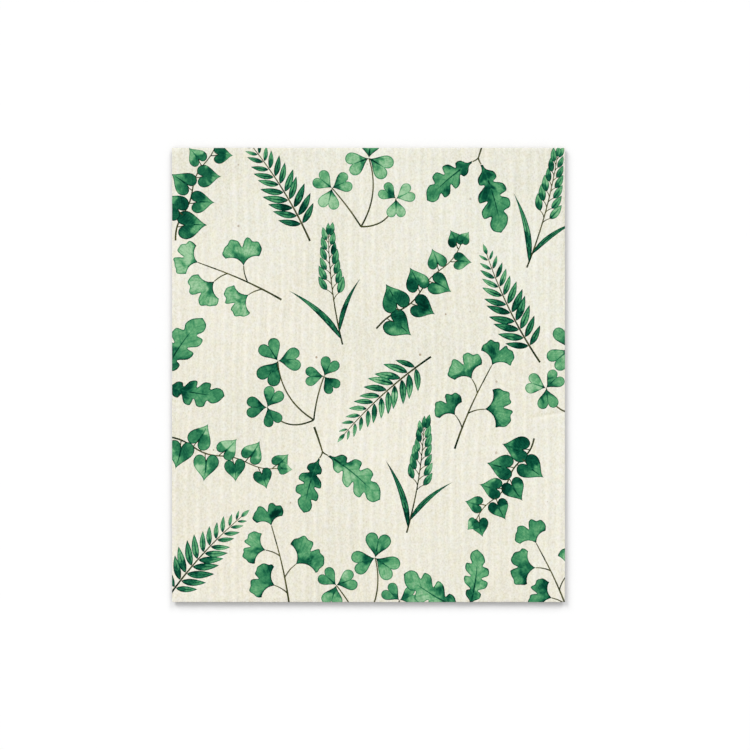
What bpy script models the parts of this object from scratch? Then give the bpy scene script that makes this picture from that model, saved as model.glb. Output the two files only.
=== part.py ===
"""Sponge cloth: one die-cut sheet of cellulose sponge with an embossed, ribbed face.

The sheet lies flat on its plain underside, as it comes to rest. Its ribs run the long way, along Y,
a tall one and a very low one by turns, in shallow, rounded waves. The top is pressed down a little
along the cut edges. Metres, +Z up, with the origin at the middle of the underside.
"""

import math

import bmesh
import bpy

# The sheet as it is cut
CLOTH_WIDTH = 0.173
CLOTH_LENGTH = 0.200
WEB_THICKNESS = 0.00155  # from the underside to the bottom of the grooves

# The embossed ribs, along Y
RIB_PITCH = 0.00509  # from one tall rib to the next, with a low rib midway
TALL_RIB_WIDTH = 0.0036
TALL_RIB_HEIGHT = 0.00025
LOW_RIB_WIDTH = 0.0014
LOW_RIB_HEIGHT = 0.00008

# The cut edges, where the die presses the sponge down
EDGE_EASE = 0.00045  # how far in from the cut the top starts to round over
EDGE_DROP = 0.00022  # how much lower the top is at the cut

# Facets across each rib and over each eased edge
TALL_RIB_STEPS = 8
LOW_RIB_STEPS = 4
EDGE_STEPS = 3
LEAST_STEP = 0.00004  # stations closer together than this are made one

SPONGE_COLOUR = (0.839, 0.823, 0.701, 1.0)
SPONGE_ROUGHNESS = 0.9


def clear_scene():
    """Removes whatever the scene holds."""
    for obj in list(bpy.data.objects):
        bpy.data.objects.remove(obj, do_unlink=True)


def sponge_material():
    """The dry, matt cellulose sponge."""
    material = bpy.data.materials.new("cellulose_sponge")
    material.use_nodes = True
    shader = material.node_tree.nodes["Principled BSDF"]
    shader.inputs["Base Color"].default_value = SPONGE_COLOUR
    shader.inputs["Roughness"].default_value = SPONGE_ROUGHNESS
    shader.inputs["Metallic"].default_value = 0.0
    material.diffuse_color = SPONGE_COLOUR
    return material


def crest(offset, width, height):
    """Height of one rounded rib at a distance from its middle."""
    reach = min(abs(offset) / (width / 2), 1.0)
    return height * (1.0 + math.cos(math.pi * reach)) / 2


def offset_from_nearest(x, phase):
    """Distance from x to the nearest rib of the row that starts a share of a pitch from the middle."""
    turns = x / RIB_PITCH - phase
    return (turns - round(turns)) * RIB_PITCH


def relief(x):
    """Height of the embossing over the bottom of the grooves."""
    tall = crest(offset_from_nearest(x, 0.5), TALL_RIB_WIDTH, TALL_RIB_HEIGHT)
    low = crest(offset_from_nearest(x, 0.0), LOW_RIB_WIDTH, LOW_RIB_HEIGHT)
    return max(tall, low)


def edge_drop(distance):
    """How much lower the top is at a distance in from a cut edge: a quarter of an ellipse."""
    reach = 1.0 - min(max(distance, 0.0) / EDGE_EASE, 1.0)
    return EDGE_DROP * (1.0 - math.sqrt(1.0 - reach * reach))


def top_height(x, y):
    """Height of the embossed face over the underside."""
    from_side = CLOTH_WIDTH / 2 - abs(x)
    from_end = CLOTH_LENGTH / 2 - abs(y)
    return WEB_THICKNESS + relief(x) - max(edge_drop(from_side), edge_drop(from_end))


def eased_edge(half_size):
    """Stations from one cut edge to where its rounding ends, closest together at the cut."""
    turn = math.pi / 2 / EDGE_STEPS
    return [half_size - EDGE_EASE * (1.0 - math.cos(step * turn)) for step in range(EDGE_STEPS + 1)]


def rib_stations():
    """Stations across every rib that lies inside the eased edges, with both of its sides."""
    limit = CLOTH_WIDTH / 2 - EDGE_EASE - LEAST_STEP
    reach = math.ceil(CLOTH_WIDTH / 2 / RIB_PITCH) + 1
    rows = ((0.5, TALL_RIB_WIDTH, TALL_RIB_STEPS), (0.0, LOW_RIB_WIDTH, LOW_RIB_STEPS))
    found = []
    for phase, width, steps in rows:
        for turn in range(-reach, reach + 1):
            middle = (turn + phase) * RIB_PITCH
            found += [middle + width * (step / steps - 0.5) for step in range(steps + 1)]
    return [x for x in found if abs(x) < limit]


def spaced(stations):
    """The stations in order, leaving out any that stands too close to the one before it."""
    kept = []
    for station in sorted(stations):
        if not kept or station - kept[-1] > LEAST_STEP:
            kept.append(station)
    return kept


def stations_across():
    """Every station across the sheet, from one side to the other."""
    edge = eased_edge(CLOTH_WIDTH / 2)
    return spaced([-x for x in edge] + rib_stations() + edge)


def stations_along():
    """Every station along the sheet: the ribs run straight between the two eased ends."""
    edge = eased_edge(CLOTH_LENGTH / 2)
    return spaced([-y for y in edge] + edge)


def draw_section(mesh, y):
    """Draws the sheet's section at one end, as a row of cells that share their sides."""
    across = stations_across()
    under = [mesh.verts.new((x, y, 0.0)) for x in across]
    over = [mesh.verts.new((x, y, WEB_THICKNESS)) for x in across]
    cells = zip(under, under[1:], over[1:], over)
    return [mesh.faces.new(corners) for corners in cells]


def extrude_section(mesh, cells):
    """Extrudes the section along the ribs, to the full length of the sheet."""
    made = bmesh.ops.extrude_face_region(mesh, geom=cells)["geom"]
    far_end = [part for part in made if isinstance(part, bmesh.types.BMVert)]
    bmesh.ops.translate(mesh, verts=far_end, vec=(0.0, CLOTH_LENGTH, 0.0))
    bmesh.ops.recalc_face_normals(mesh, faces=mesh.faces)


def cut_loops(mesh, along):
    """Cuts a loop round the sheet at each station along it."""
    for y in along:
        whole = mesh.verts[:] + mesh.edges[:] + mesh.faces[:]
        bmesh.ops.bisect_plane(mesh, geom=whole, plane_co=(0.0, y, 0.0), plane_no=(0.0, 1.0, 0.0))


def emboss(mesh):
    """Lifts the upper points to the ribs and presses them down towards the cut edges."""
    for vert in mesh.verts:
        if vert.co.z > WEB_THICKNESS / 2:
            vert.co.z = top_height(vert.co.x, vert.co.y)


def sheet_mesh():
    """The sheet: its section extruded, cut into loops near its ends, and embossed."""
    mesh = bmesh.new()
    cells = draw_section(mesh, -CLOTH_LENGTH / 2)
    extrude_section(mesh, cells)
    cut_loops(mesh, stations_along()[1:-1])
    emboss(mesh)
    data = bpy.data.meshes.new("sponge_cloth")
    mesh.to_mesh(data)
    mesh.free()
    return data


def build_cloth():
    """The whole cloth, which is one piece."""
    data = sheet_mesh()
    data.materials.append(sponge_material())
    data.shade_smooth()
    data.set_sharp_from_angle(angle=math.radians(50))
    cloth = bpy.data.objects.new("sponge_cloth", data)
    bpy.context.scene.collection.objects.link(cloth)
    return cloth


clear_scene()
build_cloth()
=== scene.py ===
"""A printed sponge cloth that lies flat, seen from straight above.

The cloth is one closed mesh in the place of the solid one. Its ribbed top is triangulated round the
outlines of the print, so every leaf and stem is a crisp field of faces with its own ink.
"""

import cmath
import logging
import math
from collections.abc import Callable
from dataclasses import dataclass, field, replace
from enum import Enum
from typing import Union

import bpy
import numpy as np
from bpy.types import Material, Mesh, NodeSocket, NodeTree, Object
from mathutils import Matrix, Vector
from mathutils.geometry import delaunay_2d_cdt


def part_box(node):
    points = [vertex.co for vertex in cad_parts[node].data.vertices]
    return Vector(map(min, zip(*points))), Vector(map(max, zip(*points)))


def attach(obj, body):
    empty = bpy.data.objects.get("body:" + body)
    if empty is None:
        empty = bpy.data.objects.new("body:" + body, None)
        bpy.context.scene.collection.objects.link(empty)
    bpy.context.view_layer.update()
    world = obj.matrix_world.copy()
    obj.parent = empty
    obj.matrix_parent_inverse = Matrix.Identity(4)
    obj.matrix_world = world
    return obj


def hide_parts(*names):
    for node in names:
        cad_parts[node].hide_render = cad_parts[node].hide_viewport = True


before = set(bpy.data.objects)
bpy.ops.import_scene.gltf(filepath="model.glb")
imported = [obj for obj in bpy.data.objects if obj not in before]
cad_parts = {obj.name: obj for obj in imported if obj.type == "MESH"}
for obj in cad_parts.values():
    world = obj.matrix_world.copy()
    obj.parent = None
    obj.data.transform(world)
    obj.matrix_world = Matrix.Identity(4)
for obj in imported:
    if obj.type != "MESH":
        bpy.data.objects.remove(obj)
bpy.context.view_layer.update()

LOG = logging.getLogger("sponge_cloth")
MM = 0.001
LEAST_LENGTH = 1e-9  # keeps a division from failing where a length is nothing
WHOLE_HULL = 0  # asks for every triangle inside the hull of the points
WHITE = (1.0, 1.0, 1.0, 1.0)

Colour = tuple[float, float, float, float]
Triple = tuple[float, float, float]
Input = Union["Signal", float, tuple]


def shade(red: float, green: float, blue: float) -> Colour:
    """Turns a colour as a screen shows it, 0 to 255, into the linear colour that a shader takes.

    Args:
        red, green, blue: The colour's three parts.

    Returns:
        The linear colour with full alpha.
    """
    shares = (part / 255 for part in (red, green, blue))
    linear = (s / 12.92 if s <= 0.04045 else ((s + 0.055) / 1.055) ** 2.4 for s in shares)
    return (*linear, 1.0)


@dataclass(frozen=True)
class Lumps:
    """Smooth chance lumps on the cloth, which rise and fall by turns.

    Attributes:
        width, length: The size of one lump, in millimetres.
        seed: Picks one pattern of lumps.
        strength: The greatest rise and fall.
    """

    width: float
    length: float
    seed: int
    strength: float

    def at(self, x: np.ndarray, y: np.ndarray) -> np.ndarray:
        """How far the lumps rise at some places.

        Args:
            x, y: The places, in millimetres.

        Returns:
            The rise at each place, and the fall as a number below 0.
        """
        count = 256
        table = np.random.RandomState(self.seed).uniform(-1.0, 1.0, (count, count))
        across, along = x / self.width, y / self.length
        column, row = np.floor(across).astype(int), np.floor(along).astype(int)
        right, up = self.ease(across - column), self.ease(along - row)

        def corner(step_x: int, step_y: int) -> np.ndarray:
            """The table's value at one corner of each place's cell."""
            return table[(row + step_y) % count, (column + step_x) % count]
        low = corner(0, 0) * (1 - right) + corner(1, 0) * right
        high = corner(0, 1) * (1 - right) + corner(1, 1) * right
        return self.strength * (low * (1 - up) + high * up)

    @staticmethod
    def ease(share: np.ndarray) -> np.ndarray:
        """A share that rises from 0 to 1, with a soft start and end."""
        return share * share * (3.0 - 2.0 * share)


class Motif(Enum):
    """The kinds of sprig that the print repeats."""

    FERN = "fern frond"
    FAN = "sprig of fan leaves"
    VINE = "vine of heart leaves"
    CLOVER = "bunch of clover"
    LOBED = "pair of lobed leaves"
    GRASS = "grass in seed"


class Slot(Enum):
    """The cloth's materials, numbered in the order that its mesh holds them."""

    GROUND = 0
    LEAF = 1
    STEM = 2
    EDGE = 3


@dataclass
class InkField:
    """One field of ink. Points on the cloth are complex numbers, x + iy, in millimetres.

    Attributes:
        outline: The corners of the field, anticlockwise.
        root: Where the leaf grows from.
        heading: The way that the leaf points, in radians.
        length: From root to tip.
        bend: How far the midrib has swung aside at the tip, as a share of the length.
        tone: From 0, the darkest green, to 1, the palest.
        seed: Shifts the wash, so that no two leaves are alike.
        fans: Whether the veins spread like a fan from the root.
        ink: The ink that fills it.
    """

    outline: np.ndarray
    root: complex
    heading: float
    length: float
    bend: float = 0.0
    tone: float = 0.5
    seed: float = 0.0
    fans: bool = False
    ink: Slot = Slot.LEAF

    def __post_init__(self) -> None:
        """Turns the outline round where it runs clockwise."""
        following = np.roll(self.outline, -1)
        if (self.outline.conj() * following).imag.sum() < 0:
            self.outline = self.outline[::-1]

    def local(self, points: np.ndarray) -> tuple[np.ndarray, np.ndarray]:
        """How far along the midrib and how far beside it each point lies.

        Args:
            points: Places on the cloth.

        Returns:
            The distance along from the root, and the distance across, positive to the left.
        """
        turned = (points - self.root) * np.exp(-1j * self.heading)
        along = turned.real
        return along, turned.imag - self.bend * along * along / self.length

    @property
    def rim_width(self) -> float:
        """How wide the darker rim along the outline is."""
        return min(max(0.055 * self.length, 0.28), 0.60)

    def rim(self, points: np.ndarray) -> np.ndarray:
        """How near the outline each point is.

        Args:
            points: Places in the field.

        Returns:
            1 on the outline, falling to 0 where the rim ends.
        """
        start = self.outline[None, :]
        step = np.roll(self.outline, -1)[None, :] - start
        offset = points[:, None] - start
        share = (offset * step.conj()).real / np.maximum(np.abs(step) ** 2, LEAST_LENGTH)
        depth = np.abs(offset - np.clip(share, 0, 1) * step).min(axis=1)
        return np.clip(1 - depth / self.rim_width, 0, 1)

    def inset(self) -> np.ndarray:
        """The outline, moved inwards to where the rim ends."""
        tangent = np.roll(self.outline, -1) - np.roll(self.outline, 1)
        return self.outline + 1j * tangent / np.maximum(np.abs(tangent), LEAST_LENGTH) * self.rim_width


@dataclass(frozen=True)
class Sprig:
    """One sprig of the print.

    Attributes:
        motif: What it is.
        x, y: The middle of its stem on the cloth, in millimetres from the cloth's middle.
        heading: The way that it points, in degrees anticlockwise from the right.
        length: The length of its stem, in millimetres.
        bend: How far the stem has swung aside at the tip, as a share of its length.
        tone: How pale its leaves are on the whole, from 0 to 1.
    """

    motif: Motif
    x: float
    y: float
    heading: float
    length: float
    bend: float
    tone: float

    def at(self, share: float) -> tuple[complex, float]:
        """The place and the heading at a share of the stem.

        Args:
            share: From 0 at the stem's root to 1 at its tip.

        Returns:
            The place on the cloth, and the heading in radians.
        """
        turn = math.radians(self.heading)
        towards = cmath.rect(1.0, turn)
        root = complex(self.x, self.y) - towards * (self.length * (0.5 + 0.25j * self.bend))
        place = root + towards * self.length * complex(share, self.bend * share * share)
        return place, turn + math.atan(2 * self.bend * share)


SPRIGS = (
    Sprig(Motif.VINE, -77, 83, 76, 50, -0.16, 0.52),
    Sprig(Motif.FERN, -38, 82, 114, 52, 0.14, 0.36),
    Sprig(Motif.CLOVER, 0, 84, 80, 38, -0.12, 0.60),
    Sprig(Motif.LOBED, 46, 87, 250, 42, 0.10, 0.40),
    Sprig(Motif.GRASS, 78, 72, 68, 52, 0.12, 0.46),
    Sprig(Motif.FAN, -58, 43, 150, 44, 0.12, 0.66),
    Sprig(Motif.GRASS, -16, 38, 104, 50, -0.12, 0.40),
    Sprig(Motif.VINE, 24, 38, 36, 54, 0.16, 0.44),
    Sprig(Motif.FERN, 62, 29, 124, 54, -0.14, 0.42),
    Sprig(Motif.LOBED, -84, 0, 20, 42, 0.08, 0.46),
    Sprig(Motif.CLOVER, -33, -3, 118, 38, 0.12, 0.38),
    Sprig(Motif.FERN, 7, -8, 214, 52, 0.14, 0.55),
    Sprig(Motif.FAN, 46, -12, 72, 44, -0.12, 0.48),
    Sprig(Motif.CLOVER, 92, 1, 100, 36, 0.12, 0.64),
    Sprig(Motif.VINE, -64, -36, -24, 52, 0.14, 0.64),
    Sprig(Motif.LOBED, -18, -42, -70, 40, -0.10, 0.50),
    Sprig(Motif.GRASS, 22, -46, 74, 48, 0.12, 0.36),
    Sprig(Motif.VINE, 61, -47, 242, 45, -0.14, 0.40),
    Sprig(Motif.FERN, -74, -80, 56, 52, -0.14, 0.44),
    Sprig(Motif.FAN, -38, -84, 96, 44, 0.12, 0.42),
    Sprig(Motif.CLOVER, 2, -92, 76, 38, -0.12, 0.50),
    Sprig(Motif.LOBED, 40, -97, 112, 40, 0.10, 0.62),
    Sprig(Motif.FAN, 82, -90, 108, 42, 0.12, 0.50),
)


@dataclass
class PrintDesign:
    """The print: sprigs of garden and meadow leaves, as fields of ink.

    Lengths are in millimetres. Headings are in radians, except a sprig's own, which is in degrees. A
    side is 1 on a stem's left and -1 on its right. The shape of a leaf has its root at 0 and its tip
    at 1, and takes the leaf's real length only to set how many points it has.

    Attributes:
        sprigs: The sprigs in their places.
        seed: Picks the small differences between leaves.
        leaf_step, stem_step: How far apart the points of an outline are.
        lobe_side: The side of a lobed leaf: how far along each point is, and how far out.
        fields: The fields of ink that the sprigs are drawn with.
    """

    sprigs: tuple[Sprig, ...] = SPRIGS
    seed: int = 4
    leaf_step: float = 0.6
    stem_step: float = 1.1
    lobe_side: tuple[tuple[float, float], ...] = (
        (0.0, 0.015), (0.09, 0.035), (0.17, 0.13), (0.26, 0.14), (0.30, 0.075), (0.38, 0.20), (0.49, 0.22),
        (0.52, 0.105), (0.61, 0.22), (0.72, 0.21), (0.74, 0.105), (0.83, 0.145), (0.93, 0.11), (1.0, 0.0))
    fields: list[InkField] = field(default_factory=list)

    def __post_init__(self) -> None:
        """Draws all the sprigs."""
        self.chance = np.random.RandomState(self.seed)
        drawers: dict[Motif, Callable[[Sprig], None]] = {
            Motif.FERN: self.fern,
            Motif.FAN: self.fan_sprig,
            Motif.VINE: self.vine,
            Motif.CLOVER: self.clover,
            Motif.LOBED: self.lobed_pair,
            Motif.GRASS: self.grass,
        }
        for sprig in self.sprigs:
            drawers[sprig.motif](sprig)

    def between(self, low: float, high: float) -> float:
        """A seeded chance number between two limits."""
        return float(self.chance.uniform(low, high))

    def add_stem(self, points: list[complex], widths: tuple[float, float]) -> None:
        """Adds a stem.

        Args:
            points: The places that it runs through.
            widths: Its first width and its last.
        """
        line = np.array(points)
        ahead = np.gradient(line)
        side = 1j * ahead / np.abs(ahead)
        half = np.linspace(widths[0], widths[1], len(line)) / 2
        outline = np.concatenate([line - side * half, (line + side * half)[::-1]])
        length = float(np.abs(np.diff(line)).sum())
        heading = float(np.angle(line[-1] - line[0]))
        self.fields.append(InkField(outline, points[0], heading, length, tone=self.between(0.2, 0.6),
                                    seed=self.between(0, 50), ink=Slot.STEM))

    def add_main_stem(self, sprig: Sprig, reach: float, widths: tuple[float, float]) -> None:
        """Adds a sprig's main stem, up to a share of its length."""
        count = max(4, round(sprig.length * reach / self.stem_step))
        self.add_stem([sprig.at(reach * step / count)[0] for step in range(count + 1)], widths)

    def add_stalk(self, start: complex, end: complex, swing: float, width: float) -> None:
        """Adds a short curved stalk.

        Args:
            start, end: The places that it joins.
            swing: How far its middle swings to the left, as a share of its length.
            width: Its first width. It ends thinner.
        """
        count = max(3, round(abs(end - start) / self.stem_step))
        shares = [step / count for step in range(count + 1)]
        bow = 1j * (end - start) * swing * 4
        self.add_stem([start + (end - start) * s + bow * s * (1 - s) for s in shares], (width, width * 0.7))

    def add_leaf(self, shape: np.ndarray, root: complex, heading: float, length: float, tone: float,
                 bend: float = 0.0, fans: bool = False) -> None:
        """Adds a leaf.

        Args:
            shape: Its outline, with the root at 0 and the tip at 1.
            root: Where it grows from.
            heading: The way that it points.
            length: From root to tip.
            tone: How pale it is, before a small change of its own.
            bend: How far the midrib has swung aside at the tip.
            fans: Whether its veins spread like a fan.
        """
        size = shape * length
        bent = size + 1j * bend * size.real * size.real / length
        outline = root + bent * np.exp(1j * heading)
        own_tone = min(max(tone + self.between(-0.12, 0.12), 0.0), 1.0)
        self.fields.append(InkField(outline, root, heading, length, bend, own_tone,
                                    self.between(0, 50), fans))

    def lens(self, length: float, width: float, belly: float = 0.8, blunt: float = 1.0) -> np.ndarray:
        """The shape of a simple leaf.

        Args:
            length: Its real length.
            width: Its greatest width, as a share of its length.
            belly: Under 1, its widest part is nearer the root, and over 1 nearer the tip.
            blunt: Under 1, its ends are rounder.

        Returns:
            The outline.
        """
        count = max(5, round(length / self.leaf_step))
        share = (1 - np.cos(np.linspace(0, math.pi, count + 1))) / 2
        half = width / 2 * np.sin(math.pi * share ** belly) ** blunt
        return np.concatenate([share - 1j * half, (share + 1j * half)[-2:0:-1]])

    def heart(self, length: float, notch_first: bool) -> np.ndarray:
        """The shape of a heart-shaped leaf, or of a clover leaflet.

        Args:
            length: Its real length.
            notch_first: Whether it grows from the notch, and not from the point.

        Returns:
            The outline, from the well-known curve of a heart.
        """
        count = max(14, round(3.3 * length / self.leaf_step))
        turn = np.linspace(0, 2 * math.pi, count, endpoint=False)
        across = 16 * np.sin(turn) ** 3
        up = 13 * np.cos(turn) - 5 * np.cos(2 * turn) - 2 * np.cos(3 * turn) - np.cos(4 * turn)
        notch, point, lobe_tips = 5, -17, 10  # how far up each of them is
        if notch_first:
            return ((notch - up) + 0.86j * across)[::-1].conj() / (notch - point)
        return ((up - point) + 0.94j * across)[::-1] / (lobe_tips - point)

    def fan(self, length: float) -> np.ndarray:
        """The shape of a fan leaf with a notch in its wavy outer edge.

        Args:
            length: Its real length.

        Returns:
            The outline.
        """
        widest = 1.12
        count = max(20, round(2.4 * length / self.leaf_step))
        swing = np.linspace(-widest, widest, count)
        phase = self.between(0, 6)
        ripple = 0.035 * np.sin(11 * swing + phase) + 0.02 * np.sin(19 * swing + 2 * phase)
        notch = 0.34 * np.exp(-(swing / 0.10) ** 2)
        radius = 1 - 0.30 * np.abs(swing / widest) ** 5 + ripple - notch
        side_steps = max(5, round(0.7 * length / self.leaf_step))
        out = np.linspace(0, 1, side_steps, endpoint=False)
        narrow = widest * (0.42 + 0.58 * out ** 1.3)
        right = out * radius[0] * np.exp(-1j * narrow)
        left = (out * radius[-1] * np.exp(1j * narrow))[:0:-1]
        return np.concatenate([right, radius * np.exp(1j * swing), left])

    def lobes(self, length: float) -> np.ndarray:
        """The shape of a long leaf with rounded lobes, whose two sides differ a little.

        Args:
            length: Its real length.

        Returns:
            The outline.
        """
        right = self.smooth([complex(x, -y) for x, y in self.lobe_side], length)
        left = self.smooth([complex(x * 0.97 + 0.03 * x * x, y * 0.93) for x, y in self.lobe_side], length)
        return np.concatenate([right, left[-2:0:-1]])

    def smooth(self, corners: list[complex], length: float) -> np.ndarray:
        """A smooth curve through some points.

        Args:
            corners: The points.
            length: The leaf's real length.

        Returns:
            The curve's points.
        """
        ends = [2 * corners[0] - corners[1], *corners, 2 * corners[-1] - corners[-2]]
        curve = []
        for before, start, end, after in zip(ends, ends[1:], ends[2:], ends[3:]):
            count = max(2, round(abs(end - start) * length / self.leaf_step))
            for t in np.arange(count) / count:
                bow = (end - before) * t * (1 - t) ** 2 + (start - after) * t * t * (1 - t)
                curve.append(start + (end - start) * t * t * (3 - 2 * t) + 0.5 * bow)
        return np.array([*curve, corners[-1]])

    def fern(self, sprig: Sprig) -> None:
        """Draws a frond with pairs of slender leaflets.

        Args:
            sprig: Its place and size.
        """
        self.add_main_stem(sprig, 0.98, (0.9, 0.3))
        pair_step = 4.9
        pairs = round(sprig.length / pair_step)
        for pair in range(pairs):
            share = 0.16 + 0.76 * pair / (pairs - 1)
            place, heading = sprig.at(share)
            growth = (1 - share) ** 0.6 * (0.62 + 0.38 * min(1.0, (share - 0.12) / 0.22))
            for side in (-1, 1):
                length = sprig.length * 0.25 * growth * self.between(0.92, 1.08) + 1.4
                turn = heading + side * math.radians(66 - 24 * share + self.between(-4, 4))
                foot = place + cmath.rect(0.5, turn)
                tone = sprig.tone + 0.30 * (share - 0.4)
                self.add_leaf(self.lens(length, 0.29, 0.8, 0.85), foot, turn, length, tone, -0.12 * side)
        tip, heading = sprig.at(0.97)
        self.add_leaf(self.lens(5.0, 0.36), tip, heading, 5.0, sprig.tone + 0.15)

    def fan_sprig(self, sprig: Sprig) -> None:
        """Draws fan leaves on long stalks.

        Args:
            sprig: Its place and size.
        """
        self.add_main_stem(sprig, 0.72, (0.9, 0.5))
        spots = ((0.22, 1, 0.92), (0.38, -1, 1.08), (0.60, 1, 0.96), (0.72, 0, 0.90))
        for share, side, growth in spots:
            place, heading = sprig.at(share)
            length = 11.5 * growth * self.between(0.92, 1.08)
            turn = side * math.radians(58 + self.between(-6, 6))
            stalk = 7.0 * growth if side else 8.5
            foot = place + cmath.rect(stalk, heading + turn * 0.85)
            self.add_stalk(place, foot, -0.06 * side, 0.6)
            self.add_leaf(self.fan(length), foot, heading + turn, length, sprig.tone, fans=True)

    def vine(self, sprig: Sprig) -> None:
        """Draws a vine of heart-shaped leaves with a curly tendril.

        Args:
            sprig: Its place and size.
        """
        count = max(8, round(sprig.length / self.stem_step))

        def winding(share: float) -> complex:
            """A place on the stem, which winds a little from side to side."""
            place, heading = sprig.at(share)
            return place + 1j * cmath.rect(0.9 * math.sin(share * 4.2 * math.pi), heading)
        self.add_stem([winding(step / count) for step in range(count + 1)], (0.8, 0.35))
        self.tendril(winding(0.30), sprig.at(0.30)[1] + 0.9)
        leaves = 8
        for leaf in range(leaves):
            share = 0.12 + 0.80 * leaf / (leaves - 1)
            side = 1 if leaf % 2 else -1
            _, heading = sprig.at(share)
            length = (10.2 - 4.4 * share) * self.between(0.92, 1.1)
            turn = side * math.radians(68 - 20 * share + self.between(-8, 8))
            foot = winding(share) + cmath.rect(3.4, heading + turn)
            self.add_stalk(winding(share), foot, 0.08 * side, 0.5)
            shape = self.heart(length, notch_first=True)
            self.add_leaf(shape, foot, heading + turn * 1.12, length, sprig.tone, 0.10 * side)
        heading = sprig.at(1.0)[1]
        self.add_leaf(self.heart(4.6, notch_first=True), winding(1.0), heading, 4.6, sprig.tone + 0.12)

    def tendril(self, start: complex, heading: float) -> None:
        """Draws a thin curl that grows from a stem and turns left, tighter and tighter.

        Args:
            start: Where it grows from.
            heading: The way that it sets out.
        """
        points = [start]
        for step in range(26):
            heading += 0.04 + 0.018 * step
            points.append(points[-1] + cmath.rect(0.8, heading))
        self.add_stem(points, (0.45, 0.28))

    def clover(self, sprig: Sprig) -> None:
        """Draws three stalks from one root, each with three notched leaflets.

        Args:
            sprig: Its place and size.
        """
        turn = math.radians(sprig.heading)
        towards = cmath.rect(1.0, turn)
        root = complex(sprig.x, sprig.y) - towards * sprig.length / 2
        stalks = ((0.06, 0.80, 1.0), (0.82, 0.56, 0.84), (-0.72, 0.52, 0.78))
        for lean, reach, growth in stalks:
            top = root + towards * sprig.length * reach * cmath.rect(1.0, lean)
            self.add_stalk(root, top, sprig.bend + 0.12 * lean, 0.75)
            for leaflet in (-1, 0, 1):
                length = 9.8 * growth * self.between(0.95, 1.05)
                facing = turn + lean * 1.3 + leaflet * math.radians(116)
                self.add_leaf(self.heart(length, notch_first=False), top, facing, length, sprig.tone)

    def lobed_pair(self, sprig: Sprig) -> None:
        """Draws two lobed leaves on one twig.

        Args:
            sprig: Its place and size.
        """
        self.add_main_stem(sprig, 0.30, (1.0, 0.6))
        fork, heading = sprig.at(0.29)
        for side, growth in ((1, 0.74), (-1, 0.62)):
            length = sprig.length * growth
            turn = heading + side * math.radians(42)
            foot = fork + cmath.rect(3.0, turn)
            self.add_stalk(fork, foot, -0.06 * side, 0.7)
            self.add_leaf(self.lobes(length), foot, turn, length, sprig.tone, -0.16 * side)

    def grass(self, sprig: Sprig) -> None:
        """Draws a grass stem with seeds on both sides and two long blades.

        Args:
            sprig: Its place and size.
        """
        self.add_main_stem(sprig, 0.97, (0.75, 0.3))
        for share, side, length in ((0.05, 1, 30.0), (0.12, -1, 24.0)):
            place, heading = sprig.at(share)
            blade = self.lens(length, 0.095, 0.7)
            self.add_leaf(blade, place, heading + side * 0.30, length, sprig.tone, 0.30 * side)
        seeds = 13
        tone = sprig.tone + 0.1
        for seed in range(seeds):
            share = 0.40 + 0.54 * seed / (seeds - 1)
            side = 1 if seed % 2 else -1
            place, heading = sprig.at(share)
            turn = heading + side * math.radians(52 - 22 * share)
            foot = place + cmath.rect(5.4 - 4.2 * share, turn)
            self.add_stalk(place, foot, -0.08 * side, 0.45)
            length = 7.4 * (1.15 - 0.4 * share) * self.between(0.9, 1.1)
            husk = self.lens(length, 0.44, 0.8, 0.8)
            self.add_leaf(husk, foot, turn - 0.2 * side, length, tone, -0.12 * side)
        tip, heading = sprig.at(0.965)
        self.add_leaf(self.lens(5.6, 0.40), tip, heading, 5.6, tone)


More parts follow.
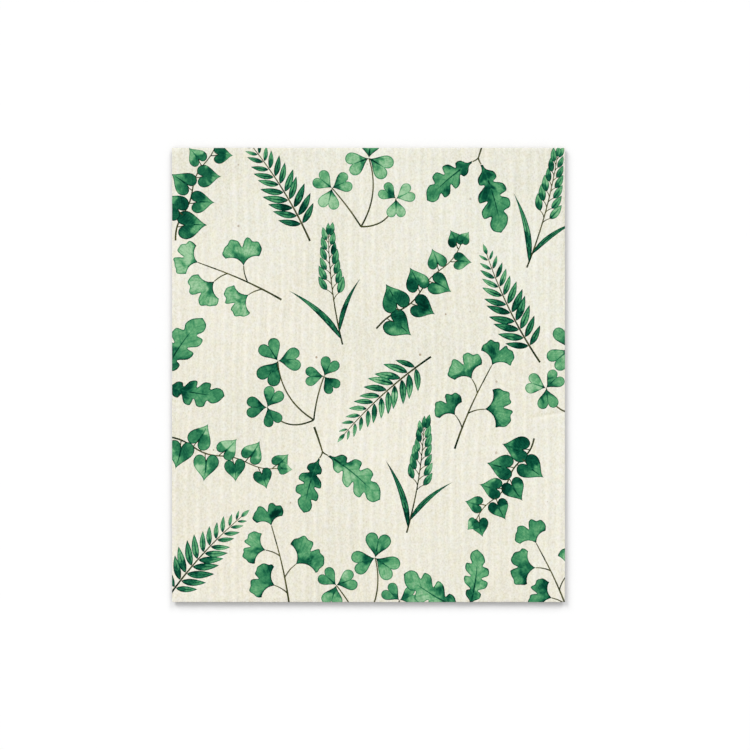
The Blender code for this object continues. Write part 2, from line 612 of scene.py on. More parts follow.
@dataclass(frozen=True)
class Signal:
    """A number or a colour that shader nodes work out at each place. Sums with it add more nodes.

    Attributes:
        tree: The nodes it belongs to.
        socket: Where it comes out of them.
    """

    tree: NodeTree
    socket: NodeSocket

    def __add__(self, other: Input) -> "Signal":
        """This number and another, added."""
        return self.math("ADD", other)

    def __sub__(self, other: Input) -> "Signal":
        """This number, less another."""
        return self.math("SUBTRACT", other)

    def __rsub__(self, other: float) -> "Signal":
        """A plain number, less this one."""
        return (self - other) * -1.0

    def __mul__(self, other: Input) -> "Signal":
        """This number, times another."""
        return self.math("MULTIPLY", other)

    def __truediv__(self, other: Input) -> "Signal":
        """This number, divided by another."""
        return self.math("DIVIDE", other)

    def math(self, kind: str, *others: Input) -> "Signal":
        """What a Math node of the given kind makes of this number and any others."""
        return add_node(self.tree, "ShaderNodeMath", 0, dict(enumerate((self, *others))), operation=kind)

    def beside(self, output: str) -> "Signal":
        """Another output of the same node."""
        return Signal(self.tree, self.socket.node.outputs[output])

    def parts(self) -> "tuple[Signal, ...]":
        """This vector's three parts."""
        first = add_node(self.tree, "ShaderNodeSeparateXYZ", "X", {0: self})
        return first, first.beside("Y"), first.beside("Z")

    def spread(self, low: float, high: float, to_low: float = 0.0, to_high: float = 1.0,
               kind: str = "LINEAR") -> "Signal":
        """Maps one range of values to another, and holds it at both ends.

        Args:
            low, high: The range that it has.
            to_low, to_high: The range that it gets.
            kind: How it runs from one end to the other.

        Returns:
            The mapped value.
        """
        inputs = {"Value": self, "From Min": low, "From Max": high, "To Min": to_low, "To Max": to_high}
        return add_node(self.tree, "ShaderNodeMapRange", "Result", inputs, interpolation_type=kind)

    def soft_spread(self, low: float, high: float, to_low: float = 0.0, to_high: float = 1.0) -> "Signal":
        """The same as spread, with a soft start and end."""
        return self.spread(low, high, to_low, to_high, "SMOOTHSTEP")

    def ramp(self, stops: tuple[tuple[float, Colour], ...]) -> "Signal":
        """Turns this number into a colour.

        Args:
            stops: Numbers from 0 to 1, each with its colour.

        Returns:
            The colour.
        """
        colour = add_node(self.tree, "ShaderNodeValToRGB", "Color", {"Fac": self})
        elements = colour.socket.node.color_ramp.elements
        while len(elements) < len(stops):
            elements.new(0.5)
        for element, (position, shown) in zip(elements, stops):
            element.position = position
            element.color = shown
        return colour

    def blend(self, kind: str, share: Input, over: Input) -> "Signal":
        """Mixes another colour into this one.

        Args:
            kind: How they mix.
            share: How much of the other there is.
            over: The other colour.

        Returns:
            The mixed colour.
        """
        inputs = {"Factor": share, 6: self, 7: over}
        return add_node(self.tree, "ShaderNodeMix", 2, inputs, data_type="RGBA", blend_type=kind)


def join(value: Input, socket: NodeSocket) -> None:
    """Feeds a socket.

    Args:
        value: A signal or a plain value.
        socket: Where it goes.
    """
    if isinstance(value, Signal):
        value.tree.links.new(value.socket, socket)
    else:
        socket.default_value = value


def add_node(tree: NodeTree, kind: str, output: str | int, inputs: dict[str | int, Input],
             **settings: str) -> Signal:
    """Adds a shader node.

    Args:
        tree: Where it goes.
        kind: Its type.
        output: Which of its outputs is wanted.
        inputs: What goes into its sockets, by their names or numbers.
        settings: Its own settings.

    Returns:
        The wanted output.
    """
    node = tree.nodes.new(kind)
    for name, setting in settings.items():
        setattr(node, name, setting)
    for name, value in inputs.items():
        join(value, node.inputs[name])
    return Signal(tree, node.outputs[output])


def seen_directly(tree: NodeTree) -> Signal:
    """Tells what the camera sees, itself or in a mirror or through glass, from what only light meets.

    Args:
        tree: The nodes that ask.

    Returns:
        1 for what the camera sees, and 0 otherwise.
    """
    path = add_node(tree, "ShaderNodeLightPath", "Is Camera Ray", {})
    mirrored = path.math("MAXIMUM", path.beside("Is Glossy Ray"))
    return mirrored.math("MAXIMUM", path.beside("Is Transmission Ray"))


@dataclass(frozen=True)
class Clouds:
    """A noise pattern in a material, about 0.5 on average.

    Attributes:
        scale: Lumps in one unit of the place that it reads.
        detail: How many finer layers it has.
        roughness: How strong they are.
        warp: How far it is warped.
        stretch: How many lumps there are for each one, in each direction.
    """

    scale: float
    detail: float = 2.0
    roughness: float = 0.5
    warp: float = 0.0
    stretch: Triple = (1.0, 1.0, 1.0)


@dataclass(frozen=True)
class Finish:
    """The look of the dry sponge, which the ground, the inks and the cut edge all share.

    Attributes:
        roughness: How matt the surface is.
        gloss: How much light the matt surface still mirrors.
        grain_depth: How deep the fine grain is, in metres.
        grain_strength: How strongly the grain turns the light.
        fine, drawn: The two patterns of the fibrous grain, the second drawn out along the ribs.
        drawn_share: How much of the grain is the second.
    """

    roughness: float = 0.92
    gloss: float = 0.03
    grain_depth: float = 0.00008
    grain_strength: float = 0.8
    fine: Clouds = Clouds(1450.0, 2.5, 0.6, stretch=(1.0, 0.80, 1.0))
    drawn: Clouds = Clouds(1200.0, 3.0, 0.6, 0.4, stretch=(1.0, 0.40, 1.0))
    drawn_share: float = 0.3


class Painter:
    """Builds one material of the cloth out of nodes."""

    def __init__(self, name: str, finish: Finish) -> None:
        """Starts a material with the sponge's finish.

        Args:
            name: The material's name.
            finish: The kind of finish that it is.
        """
        self.finish = finish
        self.material = bpy.data.materials.new(name)
        self.material.use_nodes = True
        self.tree = self.material.node_tree
        self.shader = self.tree.nodes["Principled BSDF"].inputs
        self.shader["Roughness"].default_value = finish.roughness
        self.shader["Specular IOR Level"].default_value = finish.gloss
        self.place = add_node(self.tree, "ShaderNodeTexCoord", "Object", {})

    def along(self, direction: Triple) -> Signal:
        """How far the place lies along a direction, in metres times the direction's length."""
        inputs = {0: self.place, 1: direction}
        return add_node(self.tree, "ShaderNodeVectorMath", "Value", inputs, operation="DOT_PRODUCT")

    def stretched(self, where: Signal, scale: Triple) -> Signal:
        """A place, with its three directions stretched."""
        return add_node(self.tree, "ShaderNodeMapping", 0, {"Vector": where, "Scale": scale})

    def noise(self, clouds: Clouds, where: Signal | None = None) -> Signal:
        """A noise pattern.

        Args:
            clouds: What it is like.
            where: The place that it reads, if that isn't the place on the cloth.

        Returns:
            The pattern's value.
        """
        inputs = {"Vector": where or self.stretched(self.place, clouds.stretch), "Scale": clouds.scale,
                  "Detail": clouds.detail, "Roughness": clouds.roughness, "Distortion": clouds.warp}
        return add_node(self.tree, "ShaderNodeTexNoise", "Fac", inputs)

    def corner_values(self, name: str) -> tuple[Signal, ...]:
        """The four numbers that the mesh stores under a name at each corner of a face."""
        stored = add_node(self.tree, "ShaderNodeAttribute", "Vector", {}, attribute_name=name)
        return (*stored.parts(), stored.beside("Alpha"))

    def grain(self) -> Signal:
        """The fine fibrous grain, about 0.5 on average."""
        share = self.finish.drawn_share
        return self.noise(self.finish.fine) * (1 - share) + self.noise(self.finish.drawn) * share

    def dress(self, colour: Signal, grain: Signal) -> Material:
        """Finishes the material with its colour and the bump of the grain.

        Args:
            colour: What is seen.
            grain: The height of the fine grain.

        Returns:
            The material.
        """
        depth = {"Strength": self.finish.grain_strength, "Distance": self.finish.grain_depth}
        bump = add_node(self.tree, "ShaderNodeBump", "Normal", {**depth, "Height": grain})
        join(bump, self.shader["Normal"])
        join(colour, self.shader["Base Color"])
        return self.material


@dataclass(frozen=True)
class GroundFinish(Finish):
    """The bare cream sponge.

    Attributes:
        pale, plain, dull: Its colours where it is palest, as it is on the whole, and where it is darkest.
        warm, cool: The two casts that the cellulose fibres take by turns.
        rosy, green: Two fainter casts, which come and go on their own.
        blotch, speck: The colours of its faint warm blotches and of the few plant specks in it.
        drift: How fast both casts change over the sheet, in each direction: it is warmest near one corner.
        streaks, patches: The pattern drawn out along the ribs, and the broad one.
        swell: The slow pattern that both casts follow.
        warm_fibres, rosy_fibres: The patterns of the two pairs of casts.
        blotches: The pattern of the blotches.
        speck_cells: Places in a metre that may hold a speck.
        grain_share, streak_share, patch_share, crease_shade_share: How much each one counts in the colour.
        The last is the painted light and shade of the crease.
        level_range: The sums of them at which the sponge is dullest and palest.
        groove_height, crest_height: How high the grooves and the crests are, in metres. Between them the
            colour runs from painted shade in the grooves to painted light on the crests.
        crease_foot: Where the short crease starts, which runs out over the nearest edge, in metres.
        crease_turn: How far it is turned from the cloth's short side, in radians.
        crease_width, crease_start: How wide the painted light and shade reaches beside it and how long its
            start is, in metres.
    """

    pale: Colour = shade(254.4, 251.9, 247.4)
    plain: Colour = shade(240, 236.6, 226.9)
    dull: Colour = shade(215.4, 210.8, 193)
    warm: Colour = (1.0, 0.992, 0.886, 1.0)
    cool: Colour = (0.980, 0.997, 1.0, 1.0)
    rosy: Colour = (1.0, 0.975, 1.0, 1.0)
    green: Colour = (0.975, 1.0, 0.975, 1.0)
    blotch: Colour = shade(227.3, 221, 197)
    speck: Colour = shade(150, 122, 84)
    drift: Triple = (-0.38, -0.53, 0.0)
    streaks: Clouds = Clouds(420.0, 3.0, 0.6, stretch=(1.0, 0.07, 1.0))
    patches: Clouds = Clouds(15.0, 1.0)
    swell: Clouds = Clouds(22.0, 1.0)
    warm_fibres: Clouds = Clouds(460.0, 3.0, 0.65, stretch=(1.0, 0.8, 1.0))
    rosy_fibres: Clouds = Clouds(480.0, 3.0, 0.65, stretch=(-1.0, 0.8, 1.0))
    blotches: Clouds = Clouds(330.0)
    speck_cells: float = 88.0
    grain_share: float = 0.95
    streak_share: float = 0.16
    patch_share: float = 0.17
    crease_shade_share: float = 0.28
    level_range: tuple[float, float] = (0.375, 0.935)
    groove_height: float = 0.00155
    crest_height: float = 0.0018
    crease_foot: tuple[float, float] = (0.0680, -0.0196)
    crease_turn: float = 0.17
    crease_width: float = 0.0009
    crease_start: float = 0.007

    def material(self) -> Material:
        """Makes the material.

        Returns:
            The material.
        """
        paint = Painter("cream_sponge", self)
        grain = paint.grain()
        streaks = paint.noise(self.streaks)
        # Painted light and shade of the ribs: the colour is lighter on the crests and darker in the grooves.
        painted_rib_light = paint.place.parts()[2].spread(self.groove_height, self.crest_height, -0.02, 0.06)
        level = grain * self.grain_share + streaks * self.streak_share + painted_rib_light
        level = level + paint.noise(self.patches) * self.patch_share
        # Painted light and shade of the short crease: darker just above its line and lighter just below it.
        level = level - self.crease(paint, streaks) * self.crease_shade_share
        stops = ((0.0, self.dull), (0.5, self.plain), (1.0, self.pale))
        colour = level.spread(*self.level_range).ramp(stops)
        return paint.dress(self.specks(paint, self.tint(paint, colour)), grain)

    def crease(self, paint: Painter, wander: Signal) -> Signal:
        """The painted light and shade of the crease: of one sign above its line and the other below it, as
        if the sponge were tipped there.

        Args:
            paint: The material being built.
            wander: A pattern, about 0.5 on average, that the crease's line wavers with.

        Returns:
            The painted light and shade, which is 0 away from the crease.
        """
        run = cmath.rect(1.0, self.crease_turn)
        foot = complex(*self.crease_foot) / run
        above = (paint.along((-run.imag, run.real, 0.0)) - foot.imag) / self.crease_width + wander - 0.5
        fade = (above * above * -1.0).math("EXPONENT")
        reach = paint.along((run.real, run.imag, 0.0))
        return above * fade * reach.soft_spread(foot.real, foot.real + self.crease_start)

    def tint(self, paint: Painter, colour: Signal) -> Signal:
        """Lays both pairs of casts over the colour, each in fine clouds that drift over the sheet.

        Args:
            paint: The material being built.
            colour: The colour under them.

        Returns:
            The colour with its casts.
        """
        drift = (paint.noise(self.swell) - 0.5) * 0.2 + paint.along(self.drift)
        warmth = drift + paint.noise(self.warm_fibres)
        blush = drift * 1.13 + paint.noise(self.rosy_fibres)
        for value, low, high in ((warmth, self.cool, self.warm), (blush, self.green, self.rosy)):
            colour = colour.blend("MULTIPLY", 1.0, value.ramp(((0.28, low), (0.72, high))))
        return colour

    def specks(self, paint: Painter, colour: Signal) -> Signal:
        """Lays faint warm blotches and a few tiny brown specks over the colour.

        Args:
            paint: The material being built.
            colour: The colour under them.

        Returns:
            The colour with its blotches and specks.
        """
        blotch = paint.noise(self.blotches).soft_spread(0.60, 0.76, 0.0, 0.35)
        colour = colour.blend("MIX", blotch, self.blotch)
        inputs = {"Vector": paint.place, "Scale": self.speck_cells}
        away = add_node(paint.tree, "ShaderNodeTexVoronoi", "Distance", inputs, voronoi_dimensions="2D")
        depth, size, _ = away.beside("Color").parts()
        spot = (size.spread(0.0, 1.0, 0.022, 0.046) - away).soft_spread(-0.020, 0.012)
        return colour.blend("MIX", depth.spread(0.90, 0.98, 0.0, 0.75) * spot, self.speck)


@dataclass(frozen=True)
class CutEdge(Finish):
    """The edge where the die cut through the open pores of the sponge.

    Attributes:
        flesh, pore_shade: The colour of the sponge between the pores, and the painted shade inside them.
        pore_cells: Pores in a metre.
        pore_stretch: How many pores there are for each one, in each direction.
    """

    flesh: Colour = shade(206, 200, 179)
    pore_shade: Colour = shade(110, 102, 82)
    pore_cells: float = 1500.0
    pore_stretch: Triple = (1.0, 1.0, 0.6)

    def material(self) -> Material:
        """Makes the material.

        Returns:
            The material.
        """
        paint = Painter("cut_edge", self)
        inputs = {"Vector": paint.stretched(paint.place, self.pore_stretch), "Scale": self.pore_cells}
        away = add_node(paint.tree, "ShaderNodeTexVoronoi", "Distance", inputs)
        # Painted shade in the pores: the colour darkens towards each pore's middle. The same pattern, with
        # the grain, is the bump.
        pore_shade_and_grain = (paint.grain() - 0.5) * 0.8 + away.soft_spread(0.20, 0.62)
        return paint.dress(pore_shade_and_grain.ramp(((0.0, self.pore_shade), (0.8, self.flesh))), pore_shade_and_grain)


@dataclass(frozen=True)
class LeafInk(Finish):
    """The green ink of the leaves, laid like a watercolour wash.

    Attributes:
        washes: The greens from the deepest pool to the thinnest wash.
        thinness: How much paler every leaf is than its tone.
        pool: How much deeper the colour is near the root.
        edge: How much deeper it is along the outline, where the wash dried.
        cloud, mottle: The broad and the fine pattern of the wash, in lumps to a millimetre.
        side_slant: How far a side vein runs along the leaf for each millimetre out.
        side_step: From one side vein to the next, as a share of the leaf's length.
        fan_veins: Veins to a radian, where they spread like a fan.
    """

    washes: tuple[tuple[float, Colour], ...] = (
        (0.00, shade(0, 46, 34)),
        (0.20, shade(8, 80, 58)),
        (0.40, shade(36, 112, 76)),
        (0.58, shade(68, 144, 98)),
        (0.76, shade(104, 172, 120)),
        (1.00, shade(166, 208, 166)),
    )
    thinness: float = 0.19
    pool: float = 0.38
    edge: float = 0.36
    cloud: Clouds = Clouds(0.16, 2.0, 0.5, 0.4)
    mottle: Clouds = Clouds(0.9, 4.0, 0.7)
    side_slant: float = 1.1
    side_step: float = 0.15
    fan_veins: float = 6.0

    def material(self) -> Material:
        """Makes the material.

        Returns:
            The material.
        """
        paint = Painter("leaf_ink", self)
        leaf = paint.corner_values("leaf_place")
        along, across, length, _ = leaf
        tone, seed, rim, _ = paint.corner_values("leaf_wash")
        own = add_node(paint.tree, "ShaderNodeCombineXYZ", 0, {0: along, 1: across, 2: seed * 7.0})
        cloud = paint.noise(self.cloud, own) - 0.5
        mottle = paint.noise(self.mottle, own) - 0.5
        pooled = (cloud * 1.6 + along / length).soft_spread(0.18, 0.52, self.pool, 0.0)
        wash = tone + self.thinness - pooled + mottle * 0.60 + cloud * 0.80
        wash = wash + self.veins(leaf, wash) - rim.spread(0.05, 0.65) * self.edge
        grain = paint.grain()
        faded = grain.spread(0.30, 0.72, 0.88, 1.10)
        return paint.dress(wash.ramp(self.washes).blend("MULTIPLY", 1.0, faded), grain)

    def veins(self, leaf: tuple[Signal, ...], wash: Signal) -> Signal:
        """How much lighter or darker the veins make the wash.

        Args:
            leaf: How far along and across the leaf the place lies, in millimetres, the leaf's length,
                and 1 where its veins spread like a fan.
            wash: The wash under the veins.

        Returns:
            What to add to the wash.
        """
        along, across, length, fans = leaf
        share = along / length
        beside = across.math("ABSOLUTE")
        rows = (along - beside * self.side_slant) / (length * self.side_step)
        spokes = across.math("ARCTAN2", along) * self.fan_veins
        turns = add_node(wash.tree, "ShaderNodeMix", 0, {0: fans, 2: rows, 3: spokes})
        away = (turns.math("FRACT") - 0.5).math("ABSOLUTE")
        side_veins = away.soft_spread(0.03, 0.16, 1.0, 0.0) * wash.soft_spread(0.30, 0.60, 0.16, -0.10)
        beyond = beside - share.spread(0.0, 0.78, 0.50, 0.10)
        midrib = beyond.soft_spread(-0.18, 0.12, 1.0, 0.0) * (1.0 - fans)
        midrib = midrib * share.soft_spread(0.66, 0.84, 1.0, 0.0) * length.spread(5.0, 9.0, 0.35, 1.0)
        depth = wash.soft_spread(0.22, 0.50, 0.12, -0.50)
        return midrib * depth + side_veins * length.spread(7.0, 12.0)


@dataclass(frozen=True)
class StemInk(Finish):
    """The thin dark ink of the stems.

    Attributes:
        dark, light: Its colours where the line is heavy and where it is faint.
        patches: The pattern in which it comes and goes.
    """

    dark: Colour = shade(10, 38, 24)
    light: Colour = shade(100, 98, 52)
    patches: Clouds = Clouds(190.0)

    def material(self) -> Material:
        """Makes the material.

        Returns:
            The material.
        """
        paint = Painter("stem_ink", self)
        along, _, length, _ = paint.corner_values("leaf_place")
        level = paint.noise(self.patches) * 1.2 + along / length * 0.35
        colour = level.spread(0.42, 1.15).ramp(((0.0, self.dark), (1.0, self.light)))
        return paint.dress(colour, paint.grain())


@dataclass
class SpongeCloth:
    """The cloth: a ribbed, printed top, cut edges and a plain underside, in one closed mesh.

    Sizes are in millimetres. The cut size comes from the frame.

    Attributes:
        design: The print.
        web: How thick the sheet is at the bottom of the grooves.
        rib_pitch: From one tall rib to the next, with a low rib midway.
        tall_rib, low_rib: The width and the height of a rib.
        tall_share, low_share: How much of that height the dry cloth keeps on the whole.
        tall_change, low_change: How that share varies.
        wavers: How the ribs swing from side to side.
        relief: How the face rises and falls besides.
        edge_ease, edge_drop: How far in from the cut the top rounds over, and how far down.
        edge_rows: The rows of points down a cut edge: each one's height as a share of the top's, and
            how far out it is pushed.
        edge_rough: How the cut wavers in and out.
        grid_across, grid_along, under_grid: How far apart the points of the top and underside are.
        sharp_angle: The angle over which two faces meet in a sharp line, in degrees.
    """

    design: PrintDesign
    web: float = 1.55
    rib_pitch: float = 5.09
    tall_rib: tuple[float, float] = (3.6, 0.25)
    low_rib: tuple[float, float] = (1.4, 0.08)
    tall_share: float = 0.62
    low_share: float = 0.70
    tall_change: Lumps = Lumps(4.0, 8.0, 13, 0.30)
    low_change: Lumps = Lumps(3.0, 6.0, 14, 0.50)
    wavers: tuple[Lumps, ...] = (Lumps(44.0, 52.0, 11, 1.5), Lumps(13.0, 17.0, 12, 0.4))
    relief: tuple[Lumps, ...] = (Lumps(1.1, 2.2, 15, 0.03), Lumps(7.0, 9.0, 16, 0.05))
    edge_ease: float = 0.14
    edge_drop: float = 0.05
    edge_rows: tuple[tuple[float, float], ...] = (
        (0.88, 0.0), (0.58, -0.08), (0.36, -0.42), (0.16, -1.60), (0.0, -3.50))
    edge_rough: Lumps = Lumps(1.5, 1.5, 31, 0.03)
    grid_across: float = 0.42
    grid_along: float = 1.8
    under_grid: float = 8.0
    sharp_angle: float = 52.0

    def __post_init__(self) -> None:
        """Takes the cut size from the frame."""
        low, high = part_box("sponge_cloth")
        self.half_width = (high.x - low.x) / 2 / MM
        self.half_length = (high.y - low.y) / 2 / MM

    def rib(self, turns: np.ndarray, size: tuple[float, float]) -> np.ndarray:
        """The height of a row of ribs.

        Args:
            turns: Places across the cloth, counted in pitches from the middle of a rib.
            size: The width and the height of a rib.

        Returns:
            The height at each place.
        """
        offset = np.abs(turns - np.round(turns)) * self.rib_pitch
        reach = np.minimum(offset / (size[0] / 2), 1.0)
        return size[1] * (1 + np.cos(np.pi * reach)) / 2

    def top_height(self, x: np.ndarray, y: np.ndarray) -> np.ndarray:
        """The height of the embossed face over the underside.

        Args:
            x, y: Places on the cloth.

        Returns:
            The height at each place.
        """
        turns = (x + sum(lumps.at(x, y) for lumps in self.wavers)) / self.rib_pitch
        tall = self.rib(turns - 0.5, self.tall_rib) * (self.tall_share + self.tall_change.at(x, y))
        low = self.rib(turns, self.low_rib) * (self.low_share + self.low_change.at(x, y))
        relief = sum(lumps.at(x, y) for lumps in self.relief)
        inside = np.minimum(self.half_width - np.abs(x), self.half_length - np.abs(y))
        near = 1 - np.clip(inside / self.edge_ease, 0, 1)
        drop = self.edge_drop * (1 - np.sqrt(1 - near * near))
        return self.web + np.maximum(tall, low) + relief - drop

    def border(self) -> np.ndarray:
        """The cut outline.

        Returns:
            Its points, anticlockwise, with one wherever the grid meets it.
        """
        across = self.stations(self.half_width, self.grid_across)
        along = self.stations(self.half_length, self.grid_along / 2)
        w, h = self.half_width, self.half_length
        return np.concatenate([across[:-1] - 1j * h, w + 1j * along[:-1],
                               across[:0:-1] + 1j * h, -w + 1j * along[:0:-1]])

    def stations(self, half: float, step: float) -> np.ndarray:
        """Even stations from one edge to the other, with closer ones where the edge is eased.

        Args:
            half: From the middle to an edge.
            step: How far apart they are.

        Returns:
            The stations in order.
        """
        even = np.linspace(-half, half, round(2 * half / step) + 1)
        eased = (0.0, 0.35, 1.0)  # shares of the way in from the cut to where the top is level
        near = half - self.edge_ease * np.array(eased)
        middle = even[np.abs(even) < half - self.edge_ease - step / 3]
        return np.concatenate([-near, middle, near[::-1]])

    def triangulate(self) -> tuple[np.ndarray, np.ndarray, np.ndarray]:
        """Splits the top into triangles that follow the ribs and every outline of the print.

        Returns:
            The points, the triangles, and for each triangle its field's number, or -1 on bare ground.
        """
        points: list[complex] = []

        def number(group: np.ndarray) -> list[int]:
            """Adds a group of points, and gives their numbers."""
            points.extend(group)
            return list(range(len(points) - len(group), len(points)))
        across = self.stations(self.half_width, self.grid_across)[1:-1]
        along = self.stations(self.half_length, self.grid_along)[1:-1]
        loops = [number(self.border())]
        number((across[None, :] + 1j * along[:, None]).ravel())
        edges: list[tuple[int, int]] = []
        for ink_field in self.design.fields:
            loops.append(number(ink_field.outline))
            if ink_field.ink is Slot.LEAF:
                ring = number(ink_field.inset())
                edges += zip(ring, ring[1:] + ring[:1])
        squeeze = self.grid_across / self.grid_along
        flat = [Vector((float(p.real), float(p.imag) * squeeze)) for p in points]
        least_gap = 1e-3
        corners, _, faces, _, _, inside = delaunay_2d_cdt(flat, edges, loops, WHOLE_HULL, least_gap, True)
        places = np.array([complex(v.x, v.y / squeeze) for v in corners])
        on_cloth = np.array([0 in found for found in inside])
        owners = np.array([max(found, default=0) for found in inside])
        return places, np.array(faces)[on_cloth], owners[on_cloth] - 1

    def edge_loop(self, triangles: np.ndarray) -> np.ndarray:
        """The points round the edge of the top, anticlockwise.

        Args:
            triangles: The top's triangles.

        Returns:
            The numbers of the points, in order.
        """
        ends = np.concatenate([triangles[:, [0, 1]], triangles[:, [1, 2]], triangles[:, [2, 0]]])
        both = {(int(a), int(b)) for a, b in ends}
        after = {a: b for a, b in both if (b, a) not in both}
        loop = [min(after)]
        while after[loop[-1]] != loop[0]:
            loop.append(after[loop[-1]])
        return np.array(loop)

    def outward(self, places: np.ndarray) -> np.ndarray:
        """The way out of the cloth.

        Args:
            places: Places on its border.

        Returns:
            The direction at each place.
        """
        near = 1e-3
        side = (np.abs(places.real) > self.half_width - near) * np.sign(places.real)
        end = (np.abs(places.imag) > self.half_length - near) * np.sign(places.imag)
        direction = side + 1j * end
        return direction / np.maximum(np.abs(direction), LEAST_LENGTH)

    def build(self) -> Object:
        """Builds the whole cloth.

        Returns:
            The cloth with its materials.
        """
        places, triangles, owners = self.triangulate()
        used, numbers = np.unique(triangles, return_inverse=True)
        places, triangles = places[used], numbers.reshape(-1, 3)
        top = np.column_stack([places.real, places.imag, self.top_height(places.real, places.imag)])
        loop = self.edge_loop(triangles)
        walls, wall_faces = self.cut_edges(top, loop)
        under, under_faces = self.underside(walls[-len(loop):], len(top) + len(walls) - len(loop))
        points = np.concatenate([top, walls, under]) * MM
        faces = np.concatenate([triangles, wall_faces, under_faces])
        mesh = bpy.data.meshes.new("printed_cloth")
        mesh.from_pydata(points.tolist(), [], faces.tolist())
        mesh.validate()
        self.ink_faces(mesh, places[triangles], owners, len(wall_faces))
        self.lay_out(mesh, len(triangles), len(wall_faces))
        mesh.shade_smooth()
        mesh.set_sharp_from_angle(angle=math.radians(self.sharp_angle))
        for finish in (GroundFinish(), LeafInk(), StemInk(), CutEdge()):  # in the order of Slot
            mesh.materials.append(finish.material())
        cloth = bpy.data.objects.new("printed_cloth", mesh)
        bpy.context.scene.collection.objects.link(cloth)
        return cloth

    def cut_edges(self, top: np.ndarray, loop: np.ndarray) -> tuple[np.ndarray, np.ndarray]:
        """Makes the slightly rough cut edges, from the top's border down to the underside.

        Args:
            top: The top's points.
            loop: The numbers of the points round its edge.

        Returns:
            The new points, and the triangles of the edges.
        """
        rim = top[loop]
        places = rim[:, 0] + 1j * rim[:, 1]
        out = self.outward(places)
        run = np.arange(len(loop)) * 0.7  # about how far round the cloth each point is
        rows, numbers = [], [loop]
        for row, (level, push) in enumerate(self.edge_rows):
            rough = replace(self.edge_rough, seed=self.edge_rough.seed + row)
            wider, longer = 1 + push / self.half_width, 1 + push / self.half_length
            moved = places.real * wider + 1j * places.imag * longer + out * rough.at(run, run)
            rows.append(np.column_stack([moved.real, moved.imag, rim[:, 2] * level]))
            numbers.append(len(top) + row * len(loop) + np.arange(len(loop)))
        faces = []
        for upper, lower in zip(numbers, numbers[1:]):
            upper_next, lower_next = np.roll(upper, -1), np.roll(lower, -1)
            faces.append(np.column_stack([upper, lower, lower_next]))
            faces.append(np.column_stack([upper, lower_next, upper_next]))
        return np.concatenate(rows), np.concatenate(faces)

    def underside(self, rim: np.ndarray, first: int) -> tuple[np.ndarray, np.ndarray]:
        """Closes the flat underside.

        Args:
            rim: The points round its edge.
            first: The number of the first of them in the mesh.

        Returns:
            The new points, and the triangles that face down.
        """
        margin = self.under_grid / 2 - self.edge_rows[-1][1]
        across = np.arange(margin - self.half_width, self.half_width - margin, self.under_grid)
        along = np.arange(margin - self.half_length, self.half_length - margin, self.under_grid)
        x, y = np.meshgrid(across, along)
        inner = np.column_stack([x.ravel(), y.ravel(), np.zeros(x.size)])
        points = [Vector((float(a), float(b))) for a, b, _ in np.concatenate([rim, inner])]
        loop, least_gap = list(range(len(rim))), 1e-6
        _, _, faces, sources, _, loops = delaunay_2d_cdt(points, [], [loop], WHOLE_HULL, least_gap, True)
        source = np.array([found[0] for found in sources])
        inside = np.array([bool(found) for found in loops])
        return inner, (first + source[np.array(faces)][:, ::-1])[inside]

    def ink_faces(self, mesh: Mesh, corners: np.ndarray, owners: np.ndarray, edge_faces: int) -> None:
        """Gives each field its ink, and each corner its place on the leaf and its wash.

        Args:
            mesh: The cloth's mesh, whose first faces are the top's.
            corners: The places of each of the top's triangles' three corners.
            owners: The field of each triangle.
            edge_faces: How many faces the cut edges have, after the top's.
        """
        material = np.full(len(mesh.polygons), Slot.GROUND.value, np.int32)
        material[len(owners):len(owners) + edge_faces] = Slot.EDGE.value
        spot = np.zeros((len(mesh.loops), 4), np.float32)
        wash = np.zeros((len(mesh.loops), 4), np.float32)
        spot[:, 2] = 1.0
        for number, ink_field in enumerate(self.design.fields):
            faces = np.flatnonzero(owners == number)
            if not len(faces):
                continue
            material[faces] = ink_field.ink.value
            loops = (faces[:, None] * 3 + np.arange(3)).ravel()
            here = corners[faces].ravel()
            along, across = ink_field.local(here)
            spot[loops, 0], spot[loops, 1] = along, across
            spot[loops, 2:] = ink_field.length, ink_field.fans
            wash[loops] = ink_field.tone, ink_field.seed, 0.0, 1.0
            wash[loops, 2] = ink_field.rim(here)
        mesh.polygons.foreach_set("material_index", material)
        for name, values in (("leaf_place", spot), ("leaf_wash", wash)):
            stored = mesh.attributes.new(name, "FLOAT_COLOR", "CORNER")
            stored.data.foreach_set("color", values.ravel())

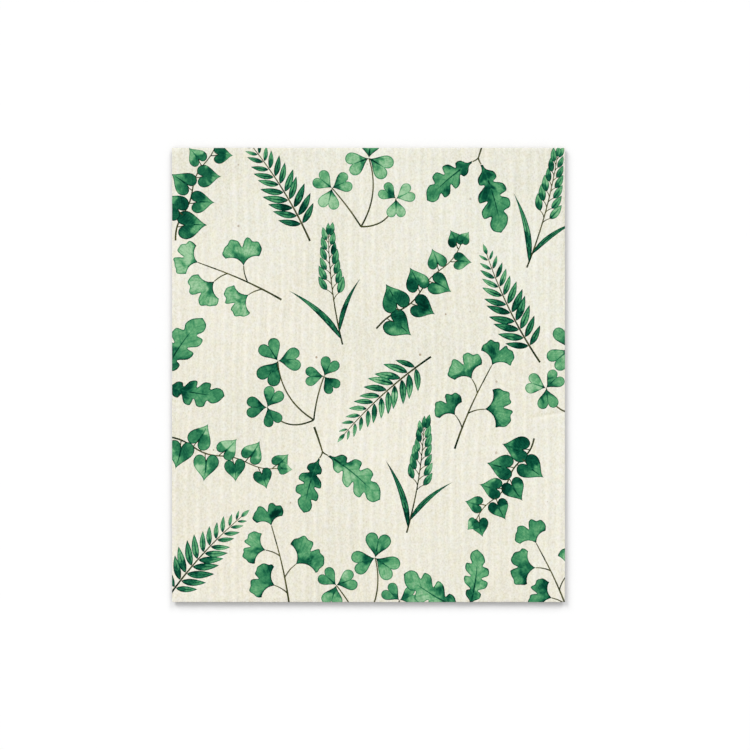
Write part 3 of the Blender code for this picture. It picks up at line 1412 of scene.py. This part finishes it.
    def lay_out(self, mesh: Mesh, top_faces: int, wall_faces: int) -> None:
        """Lays the surface out flat on a square whose side is 1.

        The top stands on the left, then the underside, turned on its side and narrower, and then one
        upright strip for each cut edge.

        Args:
            mesh: The cloth's mesh.
            top_faces: How many faces the top has.
            wall_faces: How many the cut edges have.
        """
        margin, fill = 0.01, 0.97
        under_gap, under_width = 0.008, 0.085
        strip_gap, strip_step, strip_width = 0.006, 0.0105, 0.008
        strip_height = 2.0  # the height of a cut edge that would fill a strip's width
        length, width = 2 * self.half_length, 2 * self.half_width
        numbers = np.zeros(len(mesh.loops), np.int32)
        mesh.loops.foreach_get("vertex_index", numbers)
        points = np.zeros(len(mesh.vertices) * 3, np.float32)
        mesh.vertices.foreach_get("co", points)
        at = points.reshape(-1, 3)[numbers] / MM
        right, up = at[:, 0] / width + 0.5, at[:, 1] / length + 0.5
        chart = margin + fill * np.column_stack([right * width / length, up])
        walls = slice(top_faces * 3, (top_faces + wall_faces) * 3)
        under = slice((top_faces + wall_faces) * 3, None)
        under_left = margin + fill * width / length + under_gap
        chart[under, 0] = under_left + up[under] * under_width
        chart[under, 1] = margin + right[under] * fill
        middle = at[walls].reshape(-1, 3, 3).mean(axis=1).repeat(3, axis=0)
        on_side = self.half_width - np.abs(middle[:, 0]) < self.half_length - np.abs(middle[:, 1])
        strip = np.where(on_side, middle[:, 0] <= 0, 2 + (middle[:, 1] <= 0))
        strip_left = under_left + under_width + strip_gap + strip * strip_step
        chart[walls, 0] = strip_left + at[walls, 2] / strip_height * strip_width
        chart[walls, 1] = margin + np.where(on_side, up[walls], right[walls]) * fill
        layer = mesh.uv_layers.new(name="OFBake")
        layer.data.foreach_set("uv", chart.astype(np.float32).ravel())


@dataclass(frozen=True)
class Lamp:
    """A large soft lamp, far away.

    Attributes:
        name: The lamp's name.
        share: How much light it adds on a flat surface, where 1 makes white.
        height: How high it stands, in degrees.
        side: Where it stands, in degrees, with 90 at the picture's top and 180 at its left.
        softness: How wide it looks from the cloth, in degrees.
    """

    name: str
    share: float
    height: float
    side: float
    softness: float

    def hang(self) -> None:
        """Hangs the lamp."""
        data = bpy.data.lights.new(self.name, "SUN")
        data.angle = math.radians(self.softness)
        data.energy = self.share * math.pi / math.sin(math.radians(self.height))
        lamp = bpy.data.objects.new(self.name, data)
        bpy.context.scene.collection.objects.link(lamp)
        lamp.rotation_euler = (math.radians(90 - self.height), 0.0, math.radians(self.side + 90))


@dataclass
class Studio:
    """The pale floor, the soft light and the camera.

    Attributes:
        view_width: How much of the floor the picture shows from side to side, in metres.
        aim_x: How far right of the cloth's middle the camera looks, in metres.
        lens, sensor: The camera's lens and the width of its sensor, in millimetres.
        floor_size: The length of the floor's sides, in metres.
        floor_drop: How far the floor lies under the cloth, in metres.
        floor_dark: The floor's colour to the light, which it sends back as a darker one would.
        floor_glow: How much the floor glows to the camera, so that it comes out quite white.
        sky: How bright the light from all round is.
        lamps: The lamps.
    """

    view_width: float = 0.3302
    aim_x: float = 0.00286
    lens: float = 100.0
    sensor: float = 36.0
    floor_size: float = 6.0
    floor_drop: float = 0.00003
    floor_dark: Colour = (0.10, 0.10, 0.10, 1.0)
    floor_glow: float = 0.004
    sky: float = 0.575
    lamps: tuple[Lamp, ...] = (
        Lamp("key", share=0.29, height=26.5, side=131.0, softness=30.0),
        Lamp("fill", share=0.14, height=24.0, side=66.0, softness=22.0),
    )

    def build(self) -> Object:
        """Sets up the floor, lights and camera.

        Returns:
            The floor.
        """
        self.light()
        self.place_camera()
        bpy.context.scene.view_settings.view_transform = "Standard"
        return self.lay_floor()

    def lay_floor(self) -> Object:
        """Lays the pale floor just under the cloth.

        Returns:
            The floor.
        """
        bpy.ops.mesh.primitive_plane_add(size=self.floor_size, location=(0.0, 0.0, 0.0))
        floor = bpy.context.active_object
        floor.name = "floor"
        floor.data.transform(floor.matrix_world)
        for vertex in floor.data.vertices:
            vertex.co.z = -self.floor_drop
        floor.data.materials.append(self.floor_material())
        return floor

    def floor_material(self) -> Material:
        """White to the camera, and darker to the light that it sends back.

        Returns:
            The material.
        """
        material = bpy.data.materials.new("pale_floor")
        material.use_nodes = True
        tree = material.node_tree
        tree.nodes.remove(tree.nodes["Principled BSDF"])
        seen = seen_directly(tree)
        colours = {0: seen, 6: self.floor_dark, 7: WHITE}
        tint = add_node(tree, "ShaderNodeMix", 2, colours, data_type="RGBA")
        matt = add_node(tree, "ShaderNodeBsdfDiffuse", 0, {"Color": tint})
        glow = add_node(tree, "ShaderNodeEmission", 0, {"Color": WHITE, "Strength": seen * self.floor_glow})
        both = add_node(tree, "ShaderNodeAddShader", 0, {0: matt, 1: glow})
        join(both, tree.nodes["Material Output"].inputs["Surface"])
        return material

    def light(self) -> None:
        """Lights the cloth from all round, and more from the picture's top and its left."""
        world = bpy.data.worlds.new("soft_sky")
        bpy.context.scene.world = world
        world.use_nodes = True
        sky = world.node_tree.nodes["Background"].inputs
        sky["Color"].default_value = WHITE
        join(seen_directly(world.node_tree).spread(0.0, 1.0, self.sky, 1.0), sky["Strength"])
        for lamp in self.lamps:
            lamp.hang()

    def place_camera(self) -> None:
        """Looks straight down, with the picture's top towards +Y."""
        data = bpy.data.cameras.new("camera")
        data.lens = self.lens
        data.sensor_width = self.sensor
        camera = bpy.data.objects.new("camera", data)
        bpy.context.scene.collection.objects.link(camera)
        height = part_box("sponge_cloth")[1].z
        camera.location = (self.aim_x, 0.0, height + self.view_width * self.lens / self.sensor)
        bpy.context.scene.camera = camera


def main() -> None:
    """Builds the studio and the cloth."""
    logging.basicConfig(level=logging.INFO, format="%(name)s: %(message)s")
    floor = Studio().build()
    LOG.info("%s laid", floor.name)
    design = PrintDesign()
    cloth = SpongeCloth(design).build()
    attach(cloth, "root")
    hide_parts("sponge_cloth")
    LOG.info("%s: %d faces, %d fields of ink", cloth.name, len(cloth.data.polygons), len(design.fields))


if __name__ == "__main__":
    main()
